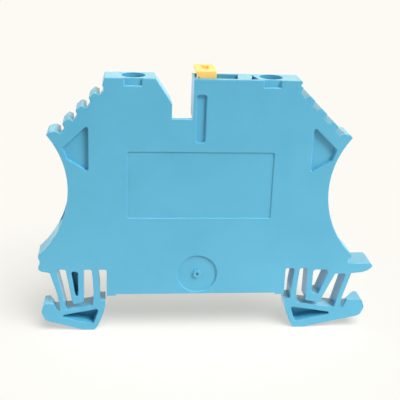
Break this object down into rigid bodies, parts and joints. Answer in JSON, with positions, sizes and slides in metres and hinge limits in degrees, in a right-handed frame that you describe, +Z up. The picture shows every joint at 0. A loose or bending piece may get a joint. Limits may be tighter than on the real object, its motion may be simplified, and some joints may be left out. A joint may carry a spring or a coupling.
{
  "type": "terminal block",
  "caption": "Rail-mounted terminal block: a flat plastic housing with rail feet, a screw clamp at each end and a lever that swings a knife blade out of its jaw.",
  "frame": {"origin": "middle of the rail seat: on the rail's top plane, on the housing's symmetry axis and at half the block's width", "axes": "+X along the block towards the hand tab, +Y from the closed side to the open side, +Z up from the rail"},
  "size_m": [0.0596, 0.0052, 0.0475],
  "materials": {
    "housing_plastic": "fine satin moulding, light blue",
    "lever_plastic": "satin moulding, yellow orange",
    "copper": "rolled copper alloy strip",
    "tinned_copper": "tin-plated copper strip",
    "spring_steel": "bright spring steel",
    "plated_steel": "zinc-plated steel"
  },
  "bodies": {
    "housing": {"housing": "housing_plastic", "busbar_left": "tinned_copper", "busbar_right": "tinned_copper", "jaw_spring_left": "spring_steel", "jaw_spring_right": "spring_steel"},
    "lever": {"disconnect_lever": "lever_plastic", "knife_blade": "copper"},
    "screw_left": {"clamp_screw_left": "plated_steel"},
    "screw_right": {"clamp_screw_right": "plated_steel"},
    "yoke_left": {"clamp_yoke_left": "plated_steel"},
    "yoke_right": {"clamp_yoke_right": "plated_steel"}
  },
  "joints": [
    {"name": "lever_swing", "type": "hinge", "parent": "housing", "child": "lever", "pos_m": [0.00065, 0.00025, 0.0292], "axis": [0, 1, 0], "range_deg": [0, 18]},
    {"name": "screw_turn_left", "type": "hinge", "parent": "housing", "child": "screw_left", "pos_m": [-0.01146, 0.00025, 0.0295], "axis": [0, 0, -1], "range_deg": [0, 1728]},
    {"name": "screw_turn_right", "type": "hinge", "parent": "housing", "child": "screw_right", "pos_m": [0.01146, 0.00025, 0.0295], "axis": [0, 0, -1], "range_deg": [0, 1728]},
    {"name": "yoke_rise_left", "type": "slide", "parent": "housing", "child": "yoke_left", "axis": [0, 0, 1], "range_m": [0, 0.0024]},
    {"name": "yoke_rise_right", "type": "slide", "parent": "housing", "child": "yoke_right", "axis": [0, 0, 1], "range_m": [0, 0.0024]}
  ],
  "couplings": [
    {"joint": "screw_turn_left", "follows": "yoke_rise_left", "rad_per_m": 12566},
    {"joint": "screw_turn_right", "follows": "yoke_rise_right", "rad_per_m": 12566}
  ]
}
